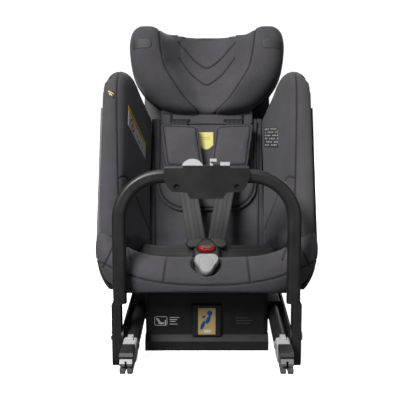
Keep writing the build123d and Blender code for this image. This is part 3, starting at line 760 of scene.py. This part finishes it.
def front_roll():
    half = [np.array(p, float) for p in ROLL_PATH]
    left = [p * (-1, 1, 1, 1, 1) for p in half[:0:-1]]
    line = spline(left + half, 130)
    tangent = unit(np.gradient(line[:, :2], axis=0))
    outward = np.column_stack([tangent[:, 1], -tangent[:, 0]])
    section = spline(ROLL_SECTION, 72, closed=True)
    rings = []
    for i, (x, y, z, deep, tall) in enumerate(line):
        end = min(1.0, min(i, len(line) - 1 - i) / 7)
        size = math.sqrt(1 - (1 - end) ** 2) * 0.7 + 0.3
        o = section[:, 0] * deep * size
        ring = [x + o * outward[i, 0], y + o * outward[i, 1], z + section[:, 1] * tall * size]
        rings.append(np.column_stack(ring))
    obj = loft("front_roll_cover", rings)
    puff(obj, voxel=4.5, cap=2.0, pressure=2.0)
    relax(obj, 9)
    refine(obj)

    def front_seam(places):
        """Runs round the front of the roll, below its middle at the centre."""
        behind = -236 + 62 * np.clip((np.abs(places[:, 0]) - 110) / 90, 0, 1)
        return np.abs(places[:, 2] - roll_level(places[:, 0])) + 50.0 * (places[:, 1] > behind)

    def short_seam(places):
        """From the roll's inner edge down to the front seam, at each side."""
        x = np.abs(places[:, 0]) - 78 - 0.12 * (204 - places[:, 2])
        below = places[:, 2] < roll_level(places[:, 0])
        return np.abs(x) + 50.0 * below + 50.0 * (places[:, 1] > -200)

    def end_seam(places):
        """Curved seam where the roll turns up at each side."""
        x = np.abs(places[:, 0])
        path = spline([(166, 236), (180, 226), (192, 204), (201, 186)], 24)
        return away(np.column_stack([x, places[:, 2]]), path) + 50.0 * (places[:, 1] > -205)

    def side_seam(places):
        """Across the top of the roll beside the arch."""
        x = np.abs(places[:, 0])
        return np.abs(x - 150 - 0.25 * (places[:, 1] + 220)) + 50.0 * (places[:, 2] < 205)

    sew(obj, [front_seam, short_seam, end_seam, side_seam], depth=2.0, width=1.7)
    keep_off_the_cradle(obj)
    well(obj)
    return obj


def about_knob(places):
    """Height above the knob's middle, and distance from its axis."""
    rel = places - KNOB_PLACE
    up = rel @ KNOB_UP
    return up, np.linalg.norm(rel - up[:, None] * KNOB_UP, axis=1)


def well(obj):
    """Dimple the cover round the adjuster knob."""
    places = coords(obj)
    up, out = about_knob(places)
    press = np.clip((33 - out) / 7, 0, 1)
    floor_level = -15.0
    sink = np.clip(up - floor_level, 0, 40) * press * press * (3 - 2 * press) * (up > floor_level)
    set_coords(obj, places - sink[:, None] * KNOB_UP)


roll = front_roll()
place(roll, "shell", FABRIC, ["front_roll"])


# ---- lining of pan and back
def yz_of(a, n):
    p = on_back([0.0, a, n])
    return float(p[1]), float(p[2])


def seat_lining():
    """One padded sheet: over the pan, round the bight and up the back."""
    path = [(-196, 166), (-150, 163), (-90, 161), (-48, 163), (-24, 172)]
    path += [yz_of(36, 9), yz_of(90, 8), yz_of(200, 8), yz_of(300, 8)]
    widths = [150, 152, 152, 150, 145, 136, 131, 129, 128]
    line = spline([(y, z, w) for (y, z), w in zip(path, widths)], 80)
    tangent = unit(np.gradient(line[:, :2], axis=0))
    up = np.column_stack([-tangent[:, 1], tangent[:, 0]])
    up *= np.sign(up[0, 1])
    rings = []
    thick = 11.0
    for (y, z, w), (uy, uz) in zip(line, up):
        top = [(x, -0.8 * (x / w) ** 2) for x in np.linspace(w - 4, -w + 4, 40)]
        under = [(x, -thick) for x in np.linspace(-w + 4, w - 4, 24)]
        loop = np.array(top + [(-w, -4), (-w, -8)] + under + [(w, -8), (w, -4)])
        rings.append(np.column_stack([loop[:, 0], y + loop[:, 1] * uy, z + loop[:, 1] * uz]))
    obj = loft("seat_lining", rings)
    puff(obj, voxel=4.0, cap=2.0, pressure=1.5)
    relax(obj, 3)
    refine(obj)

    def side_seams(places):
        """Along both sides, wider apart towards the ends."""
        gap = np.abs(places[:, 0]) - 112 - 0.06 * np.abs(places[:, 1] + 60)
        return np.abs(gap) + 60.0 * (places[:, 2] > 400)

    sew(obj, [side_seams], depth=1.6, width=1.8)
    return obj


lining = seat_lining()
place(lining, "shell", FABRIC, ["seat_pad", "shell_foam"])


def rounded_outline(half_w, low, high, low_r, high_r, count=120):
    """Outline of an upright panel in x and height, its corners round."""
    arc = lambda cx, cy, r, start: [
        (cx + r * math.cos(start + t), cy + r * math.sin(start + t)) for t in np.linspace(0, math.pi / 2, 10)
    ]
    points = (
        arc(half_w - high_r, high - high_r, high_r, 0)
        + arc(-half_w + high_r, high - high_r, high_r, math.pi / 2)
        + arc(-half_w + low_r, low + low_r, low_r, math.pi)
        + arc(half_w - low_r, low + low_r, low_r, 1.5 * math.pi)
    )
    closed = np.array(points + points[:1])
    run = run_along(closed)
    want = np.linspace(0, run[-1], count + 1)[:-1]
    return np.stack([np.interp(want, run, closed[:, k]) for k in range(2)], axis=1)


def at_level(flat, level):
    return np.column_stack([flat, np.full(len(flat), level)])


def cushion_rings(outline, rear, front, round_r, crown, inner_steps=9):
    """Rings of a flat-backed pad over an outline: back, rounded edge, crowned face."""
    middle = outline.mean(axis=0)
    to_middle = unit(middle - outline)
    rings = [at_level(middle + (outline - middle) * s, rear) for s in (0.15, 0.5, 0.85)]
    thick = front - rear
    for t in np.linspace(-math.pi / 2, math.pi / 2, 9):
        inset = round_r * (1 - math.cos(t))
        rings.append(at_level(outline + to_middle * inset, rear + thick * (0.5 + 0.5 * math.sin(t))))
    for s in np.linspace(0.92, 0.04, inner_steps):
        rings.append(at_level(middle + (outline - middle) * s, front + crown * (1 - s**2)))
    return rings


def cushion(name, where, outline, *sizes, **options):
    """Skin of a flat-backed pad, its rings set in the world by where."""
    return loft(name, [where(r) for r in cushion_rings(outline, *sizes, **options)])


BACK_PAD_HALF_W = 117.0
BACK_PAD_LOW = 73.0
BACK_PAD_TOP = 298.0


def back_pad():
    outline = rounded_outline(BACK_PAD_HALF_W, BACK_PAD_LOW, BACK_PAD_TOP, 68, 8)
    obj = cushion("back_pad_cover", on_back, outline, 8.5, 19, 6, 3)
    puff(obj, voxel=4.0, cap=4.0, pressure=3.0)
    relax(obj, 3)
    refine(obj)
    welt = rounded_outline(BACK_PAD_HALF_W - 10, BACK_PAD_LOW + 10, BACK_PAD_TOP + 30, 58, 8)
    sew(obj, [seam_on_back(np.vstack([welt, welt[:1]]), (12, 60), count=240)], depth=2.6, width=2.0)
    return obj


pad = back_pad()
place(pad, "shell", FABRIC, ["back_pad"])


# ---- shoulder panel and pads
def shoulder_panel():
    """Padded strip under the headrest; the slot for each shoulder strap is not cut in it but painted on as a
    dark sheet of shade.
    """
    outline = rounded_outline(104, 276, 318, 6, 6)
    obj = cushion("shoulder_panel", on_back, outline, 21.5, 28, 4, 1.0)
    refine(obj)
    fold = seam_on_back([(-100, 302), (-40, 300), (0, 301), (40, 300), (100, 302)], (15, 60))
    sew(obj, [fold], depth=1.2, width=1.6)
    return obj


panel = shoulder_panel()
place(panel, "headrest", FABRIC)


def slot_shade_sheet(side):
    """Thin near-black L-shaped sheet laid on the panel's face: painted shade standing in for the slot that a
    shoulder strap comes out of.
    """
    corners = [(38, 281), (84, 281), (84, 302), (78, 302), (78, 288), (38, 288)]
    front = [(side * x, a, 30.2) for x, a in corners]
    back = [(side * x, a, 27.0) for x, a in corners]
    count = len(corners)
    faces = [tuple(range(count)), tuple(range(2 * count - 1, count - 1, -1))]
    faces += [(i, (i + 1) % count, count + (i + 1) % count, count + i) for i in range(count)]
    obj = new_object(f"strap_slot_shade_{SIDES[side]}", on_back(front + back), faces, smooth=False)
    modify(obj, "BEVEL", width=0.8 * MM, segments=2)
    return obj


# Painted shade: a dark sheet at each side where the strap slot's opening would be.
for side in (-1, 1):
    place(slot_shade_sheet(side), "headrest", SLOT_SHADE)


PAD_X, PAD_A, PAD_TALL = 56, 222, 92  # a shoulder pad's middle, and the height it leans over


def shoulder_pad(side):
    outline = rounded_outline(42.5, 165, 268, 9, 9)
    lean = 13.0
    rings = []
    for ring in cushion_rings(outline, 44, 55, 5, 3.5):
        x = ring[:, 0] + PAD_X + lean * ((ring[:, 1] - PAD_A) / PAD_TALL)
        fall = (ring[:, 1] - PAD_A) * -0.04
        up = ring[:, 1] + 0.05 * ring[:, 0]
        rings.append(on_back(np.column_stack([side * x, up, ring[:, 2] + fall])))
    obj = loft(f"shoulder_pad_cover_{SIDES[side]}", rings)
    puff(obj, voxel=3.0, cap=3.0, pressure=3.0)
    relax(obj, 3)
    refine(obj)
    inner = rounded_outline(36.5, 171, 262, 6, 6)
    x = inner[:, 0] + PAD_X + lean * ((inner[:, 1] - PAD_A) / PAD_TALL)
    welt = np.column_stack([side * x, inner[:, 1] + 0.05 * inner[:, 0]])
    sew(obj, [seam_on_back(np.vstack([welt, welt[:1]]), (51, 90), count=200)], depth=1.6, width=1.5)
    return obj


for side, word in SIDES.items():
    obj = shoulder_pad(side)
    place(obj, "headrest", FABRIC_PAD, [f"shoulder_pad_{word}"])


# ---- webbing
def ribbon(name, path, width, facing, thick=1.8, steps=60):
    """A flat strap along a path; facing gives the way its broad face looks at each control point."""
    line = spline(path, steps)
    face = spline(facing, steps) if len(facing) == len(path) else np.tile(facing[0], (steps, 1))
    tangent = unit(np.gradient(line, axis=0))
    side = unit(np.cross(tangent, face))
    out = np.cross(side, tangent)
    cross = [(-0.5, 0.3), (-0.46, 0.5)]
    cross += [(u, 0.5 + 0.12 * math.cos(u * 4 * math.pi)) for u in np.linspace(-0.4, 0.4, 17)]
    cross += [(0.46, 0.5), (0.5, 0.3), (0.5, -0.3), (0.46, -0.5), (0, -0.5), (-0.46, -0.5), (-0.5, -0.3)]
    cross = np.array(cross) * (width, thick)
    rings = [p + cross[:, :1] * s + cross[:, 1:] * o for p, s, o in zip(line, side, out)]
    obj = loft(name, rings)
    run = run_along(line)
    store(obj, "across", np.concatenate([np.tile(cross[:, 0], steps), [0, 0]]))
    store(obj, "along", np.concatenate([np.repeat(run, len(cross)), [0, 0]]))
    return obj


STRAP_PATH = [(60, 262, 41), (54, 200, 42), (47, 150, 50), (34, 74, 76), (20, -8, 96)]
for side, word in SIDES.items():
    path = on_back([(side * x, a, n) for x, a, n in STRAP_PATH])
    shoulder = ribbon(f"shoulder_webbing_{word}", path, 38, [OFF_BACK + 0.3 * UP_BACK])
    place(shoulder, None, WEBBING, ["harness_straps"] if side < 0 else ())
    tuple(on_back([0, 120, 50]) * MM)
    tuple(on_back([0, 185, 50]) * MM)
    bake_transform(shoulder)
    upper = ribbon(
        f"upper_webbing_{word}",
        on_back([(side * 62, 264, 43), (side * 62, 274, 38), (side * 62, 283, 31)]),
        36,
        [OFF_BACK],
        steps=14,
    )
    place(upper, "headrest", WEBBING, ["shoulder_straps"] if side < 0 else ())
    lap = ribbon(
        f"lap_webbing_{word}",
        [(side * 27, -128, 188), (side * 60, -120, 184), (side * 105, -100, 178), (side * 160, -72, 174)],
        36,
        [np.array([0, -0.55, 0.83])],
    )
    place(lap, "shell", WEBBING, ["lap_straps"] if side < 0 else ())
crotch_path = [(0, -158, 178), (0, -166, 170), (0, -172, 163)]
crotch = ribbon("crotch_webbing", crotch_path, 36, [np.array([0, -0.7, 0.7])], steps=14)
place(crotch, "shell", WEBBING, ["crotch_strap"])

# ---- buckle
BUCKLE_PLACE = np.array([0.0, -142.0, 192.0])
BUCKLE_OUT = np.array([0.0, -0.5, 0.866])
BUCKLE_ALONG = np.array([0.0, 0.866, 0.5])
on_buckle = tilted_frame(BUCKLE_PLACE, BUCKLE_ALONG, BUCKLE_OUT)


def smooth_outline(half, count=90):
    """A closed outline from its +X half, its corners rounded by a spline."""
    return spline(both_sides(half), count, closed=True)


def oval(wide, tall, middle=0.0, count=48):
    turn = np.linspace(0, 2 * math.pi, count, endpoint=False)
    return np.column_stack([wide * np.cos(turn), middle + tall * np.sin(turn)])


def buckle():
    """Rounded housing with a well that the button sinks into."""
    outline = smooth_outline([(5, 31), (15, 21), (24, 4), (26.5, -14), (22, -27), (8, -30)])
    wide, tall, middle = 19.5, 11.0, np.array([0.0, 1.0])
    turn = np.arctan2((outline[:, 1] - middle[1]) / tall, outline[:, 0] / wide)
    mouth = middle + np.column_stack([wide * np.cos(turn), tall * np.sin(turn)])
    rings = cushion_rings(outline, -10, 8, 2.5, 0)[:12]
    rim = rings[-1][:, :2]
    face = [((rim + mouth) / 2, 9.0), (mouth, 8.6), (mouth, -1.5)]
    face += [(middle + (mouth - middle) * s, -1.5) for s in (0.6, 0.2)]
    rings += [at_level(flat, level) for flat, level in face]
    return loft("buckle_cover", [on_buckle(r) for r in rings])


def tongue(side):
    """Latch plate that a shoulder strap and a lap strap share."""
    shape = [(7, 36), (22, 38), (37, 33), (43, 22), (39, 12), (27, 10), (12, 16)]
    outline = spline([(side * x, y) for x, y in shape], 70, closed=True)
    return cushion(f"harness_tongue_{SIDES[side]}", on_buckle, outline, -3, 3, 1.5, 0.6)


place(buckle(), "shell", SHELL_PLASTIC, ["buckle_body"])
button_ring = cushion("buckle_button_ring", on_buckle, oval(17.5, 9, 1), 4, 13, 1.5, 0.3)
place(button_ring, "buckle_push", RED_PLASTIC, ["buckle_button"])
button_top = cushion("buckle_button_top", on_buckle, oval(14.5, 6.6, 1), 11, 14, 0.8, 0.4)
place(button_top, "buckle_push", BUTTON_TOP)
for side in (-1, 1):
    place(tongue(side), "shell", SHELL_PLASTIC)


# ---- adjuster knob
on_knob = tilted_frame(KNOB_PLACE, np.array([0.0, 0.8, 0.6]), KNOB_UP)


def knob_outline(size, count=120):
    """Three lobes with hollows between them."""
    turn = np.linspace(0, 2 * math.pi, count, endpoint=False)
    reach = size * (0.86 + 0.14 * np.cos(3 * (turn + math.pi / 2)))
    return np.column_stack([reach * np.cos(turn), reach * np.sin(turn)])


def knob():
    outline = knob_outline(26.0)
    obj = cushion("harness_adjuster_knob", on_knob, outline, -9, 6.5, 2.8, 1.2, inner_steps=14)
    refine(obj)
    places = coords(obj)
    up, out = about_knob(places)
    groove = np.exp(-(((out - 13.5) / 0.9) ** 2)) * (up > 4)
    set_coords(obj, places - (groove * 0.9)[:, None] * KNOB_UP)
    return obj


place(knob(), "knob", KNOB_PLASTIC, ["adjuster_knob"])


# ---- labels and tags
def patch_material(name, ground, marks, size, rough=0.5):
    """A printed patch.  Each mark is (colour, kind, numbers) on a ground, over u and v in millimetres."""
    shader = Shader(name)
    u, v = (shader.maths("MULTIPLY", shader.attribute(label), length) for label, length in zip("uv", size))
    tint = shader.ramp(shader.noise(900, 2), [(0.3, scaled(ground, 0.85)), (0.7, ground)])
    for colour, kind, numbers in marks:
        if kind == "ring":
            cu, cv, inner, outer = numbers
            gaps = (shader.maths("SUBTRACT", w, c) for w, c in ((u, cu), (v, cv)))
            reach = shader.maths("SQRT", shader.maths("ADD", *(shader.maths("POWER", g, 2) for g in gaps)))
            parts = [shader.maths("GREATER_THAN", reach, inner), shader.maths("LESS_THAN", reach, outer)]
        else:
            u0, u1, v0, v1 = numbers
            spans = ((u, u0, u1), (v, v0, v1))
            parts = [shader.maths("COMPARE", w, (low + high) / 2, (high - low) / 2) for w, low, high in spans]
        tint = shader.mix(shader.maths("MULTIPLY", *parts), tint, colour)
    shader.surface({"Base Color": tint, "Roughness": rough})
    shader.bump(shader.noise(1500, 1), 0.1, 0.0002)
    return shader.mat


YELLOW = (0.55, 0.33, 0.015)
WHITE = (0.5, 0.5, 0.5)
RED = (0.3, 0.008, 0.01)
INK = (0.02, 0.02, 0.022)
WALL_LABEL = patch_material(
    "wall_label_film",
    WHITE,
    [
        (YELLOW, "box", (0, 100, 27, 38)),
        (RED, "ring", (22, 14, 8.0, 11.5)),
        (INK, "ring", (22, 14, 0, 3.2)),
        (RED, "ring", (50, 13, 0, 3.0)),
        (INK, "box", (57, 66, 8, 12)),
        (INK, "ring", (78, 14, 4.0, 5.2)),
        (INK, "box", (10, 90, 31, 33)),
    ],
    (100, 38),
)
CHEST_MARKS = [(INK, "box", (9, 25, v, v + 0.8)) for v in (24, 28)]
CHEST_TAG = patch_material("chest_tag_film", (0.62, 0.56, 0.17), CHEST_MARKS, (34, 41))
RIM_MARKS = [(YELLOW, "box", (0, 13, 8, 11)), (WHITE, "box", (3, 9, 3.5, 6))]
RIM_TAG = patch_material("rim_tag_cloth", (0.02, 0.02, 0.02), RIM_MARKS, (13, 15))
SPOTS = [(i, j) for i in range(9) for j in range(6) if (i + 2 * j) % 5]
DOTS = [(WHITE, "ring", (6 + 9 * i, 5 + 8 * j, 0, 2.1)) for i, j in SPOTS]
DOT_PATCH = patch_material("reflective_dots", (0.05, 0.048, 0.054), DOTS, (84, 50), rough=0.6)


def wall_label():
    def corner(u, v):
        n = 168 - 106 * u
        a = (226 - 43 * u) * (1 - v) + (268 - 48 * u) * v
        return on_back([-70, a, n])

    return laid_on("warning_label", wings[-1], corner, (-1, 0, 0), columns=30, rows=16)


def dots():
    def corner(u, v):
        n = 126 - 84 * u
        return on_back([70, 190 + 28 * u + 46 * v, n])

    return laid_on("reflective_patch", wings[1], corner, (1, 0, 0), columns=20, rows=16, lift=0.35)


def rim_tag():
    corner = lambda u, v: on_back([-201 + 13 * u, 276 + 14 * v - 7 * u, 240])
    return laid_on("rim_tag", wings[-1], corner, -OFF_BACK, columns=8, rows=8, lift=0.9)


def chest_tag():
    def rounded(u, v):
        """Round the tag's lower end."""
        drop = (2 * u - 1) ** 2 * 0.28
        return u, drop + (1 - drop) * v

    corner = lambda u, v: on_back([-19 + 34 * u, 216 + 42 * v, 90])
    return laid_on("chest_tag", pad, corner, -OFF_BACK, columns=18, rows=16, lift=0.8, keep=rounded)


place(wall_label(), "shell", WALL_LABEL)
place(dots(), "shell", DOT_PATCH)
place(rim_tag(), "shell", RIM_TAG)
place(chest_tag(), "shell", CHEST_TAG)


# ---- prints on the base
LABEL_FACE, PLATE_FACE = -190.6, -198.6  # y of the base's labels and of its middle plate


def print_shape(name, outline, hole=None, y=LABEL_FACE, rise=0.3):
    """Raised print on an upright label: an outline in x and z, or a ring with a hole in it."""
    outline = np.asarray(outline, float)
    at = lambda ring, level: np.column_stack([ring[:, 0], np.full(len(ring), level), ring[:, 1]])
    if hole is None:
        middle = outline.mean(axis=0)
        rings = [at(middle + (outline - middle) * s, y - rise) for s in (0.05, 0.5, 1.0)]
        rings.append(at(outline, y + 0.2))
        return loft(name, rings, smooth=False)
    hole = np.asarray(hole, float)
    rings = [at(outline, y + 0.2), at(outline, y - rise), at(hole, y - rise), at(hole, y + 0.2)]
    return loft(name, rings, closed=True, smooth=False)


def rounded_box(x0, x1, z0, z1, radius, count=60):
    box = rounded_outline((x1 - x0) / 2, z0, z1, radius, radius, count)
    return box + ((x0 + x1) / 2, 0)


def ellipse(x, z, wide, tall, lean=0.0, count=40):
    flat = oval(wide, tall, count=count)
    c, s = math.cos(math.radians(lean)), math.sin(math.radians(lean))
    return np.column_stack([x + flat[:, 0] * c - flat[:, 1] * s, z + flat[:, 0] * s + flat[:, 1] * c])


PRINT_WHITE = plastic_material("print_white", grey(0.55), rough=0.5, spread=0.05)
PRINT_BLUE = plastic_material("print_blue", (0.006, 0.07, 0.25), rough=0.5, spread=0.1)
PRINT_GREY = plastic_material("print_grey", grey(0.06), rough=0.5, spread=0.1)


def base_prints():
    """Generic pictograms: a framed seat and bars on the left, blue rounds on the middle plate."""
    prints = [
        ("print_frame", rounded_box(-106, -80, 50, 70, 4), rounded_box(-105, -81, 51, 69, 3), PRINT_WHITE),
        ("print_seat_back", ellipse(-98, 61, 2.2, 6.5, 32), None, PRINT_WHITE),
        ("print_seat_pan", ellipse(-93, 55.5, 6.0, 2.2, -4), None, PRINT_WHITE),
        ("print_post", rounded_box(-85, -82.5, 51.5, 62, 0.8), None, PRINT_WHITE),
    ]
    for i, (length, z) in enumerate(((20, 67), (15, 62.5), (12, 58.5), (16, 52.5))):
        prints.append((f"print_bar_{i}", rounded_box(-75, -75 + length, z, z + 1.3, 0.6), None, PRINT_WHITE))
    for i, (length, z) in enumerate(((26, 66), (34, 60), (30, 54))):
        bar = rounded_box(58, 58 + length, z, z + 1.6, 0.7)
        prints.append((f"print_faint_bar_{i}", bar, None, PRINT_GREY))
    for name, outline, hole, mat in prints:
        place(print_shape(name, outline, hole), "base", mat)
    plate = [
        ("print_round_head", ellipse(6, 80, 5.6, 5.6)),
        ("print_round_body", ellipse(3, 66, 3.8, 9.5, -24)),
        ("print_round_leg", ellipse(-8, 54, 3.8, 10.5, -22)),
        ("print_round_arm", ellipse(-6, 72, 4.2, 2.2, 30)),
    ]
    for name, outline in plate:
        place(print_shape(name, outline, y=PLATE_FACE), "base", PRINT_BLUE)
    strip = print_shape("print_plate_strip", rounded_box(-6, 8, 38, 44, 1), y=PLATE_FACE)
    place(strip, "base", PRINT_WHITE)


base_prints()


# ---- CAD pieces that keep their shape
LABEL_BLACK = plastic_material("label_black", grey(0.012), rough=0.35, grain=0.05)
LABEL_TAN = plastic_material("label_tan", (0.42, 0.31, 0.13), rough=0.4, grain=0.05, spread=0.08)
for mat, names in (
    (BLACK_PLASTIC, "base_tray base_cover base_column cradle_rails isofix_housings"),
    (DARK_STEEL, "arch_brackets isofix_tube_left isofix_tube_right isofix_crossbar"),
    (DARK_STEEL, "control_box_screws rail_screws"),
    (STEEL, "arch_pins base_screws"),
    (CLAW_STEEL, "isofix_claw_left isofix_claw_right"),
    (JAW_STEEL, "claw_jaw_left claw_jaw_right"),
    (STEEL, "jaw_pins arch_core thumbwheel_axle headrest_posts"),
    (GREY_PLASTIC, "connector_body_left connector_body_right"),
    (SHELL_PLASTIC, "release_cap_left release_cap_right shell_bucket adjuster_housing"),
    (SHELL_PLASTIC, "head_guides headrest_carrier"),
    (ARCH_PLASTIC, "arch_sleeve_left arch_sleeve_right arch_arm_left arch_arm_right"),
    (ARCH_PLASTIC, "control_box_front control_box_rear"),
    (WHITE_PLASTIC, "thumbwheel arch_lever arch_button"),
    (RAIL_METAL, "side_rails"),
    (RED_PLASTIC, "headrest_lever"),
    (LABEL_BLACK, "base_labels"),
    (LABEL_TAN, "column_label"),
):
    dress_node(mat, *names.split())


# ---- floor, light and camera
def unseen_by_light(obj):
    """Seen by the camera, but throws no bounced light or shadow on the seat."""
    for ray in ("diffuse", "glossy", "transmission", "shadow"):
        setattr(obj, f"visible_{ray}", False)


def white_material(name, glow):
    shader = Shader(name)
    shader.surface({"Base Color": (0.92, 0.92, 0.92, 1), "Roughness": 0.9})
    shader.surface({"Emission Color": (1, 1, 1, 1), "Emission Strength": glow})
    return shader.mat


def studio():
    """White sweep, a soft key light from the upper left and weak fills."""
    size = 9000
    corners = [(-size, -size, 0), (size, -size, 0), (size, size, 0), (-size, size, 0)]
    floor = new_object("floor", corners, [(0, 1, 2, 3)], smooth=False)
    dress(floor, white_material("floor_white", 0.9))
    sky_mesh = bpy.data.meshes.new("backdrop")
    bm = bmesh.new()
    bmesh.ops.create_icosphere(bm, subdivisions=4, radius=8)
    bm.to_mesh(sky_mesh)
    bm.free()
    backdrop = add_object("backdrop", sky_mesh)
    dress(backdrop, white_material("backdrop_white", 1.0))
    for obj in (floor, backdrop):
        unseen_by_light(obj)
    world = bpy.data.worlds.new("studio")
    world.use_nodes = True
    world.node_tree.nodes["Background"].inputs["Color"].default_value = (1, 1, 1, 1)
    world.node_tree.nodes["Background"].inputs["Strength"].default_value = 0.09
    bpy.context.scene.world = world
    lamps = [
        ("key_light", (-1050, -1750, 1950), 900, 92),
        ("front_light", (1300, -2000, 900), 1200, 5),
        ("top_light", (-300, 100, 2400), 1200, 16),
        ("back_light", (900, 1900, 1300), 1400, 22),
    ]
    for name, at, wide, power in lamps:
        lamp = bpy.data.lights.new(name, "AREA")
        lamp.size = wide * MM
        lamp.energy = power
        obj = add_object(name, lamp)
        obj.location = Vector(at) * MM
        aim = Vector((0, -60, 300)) * MM - obj.location
        obj.rotation_euler = aim.to_track_quat("-Z", "Y").to_euler()
    camera = bpy.data.cameras.new("camera")
    camera.sensor_width = 36
    camera.lens = 61.1
    eye = add_object("camera", camera)
    eye.location = Vector((2.5, -1522, 633)) * MM
    eye.rotation_euler = (math.radians(90 - 14.2), 0, 0)
    bpy.context.scene.camera = eye


studio()
bpy.context.scene.view_settings.view_transform = "Standard"
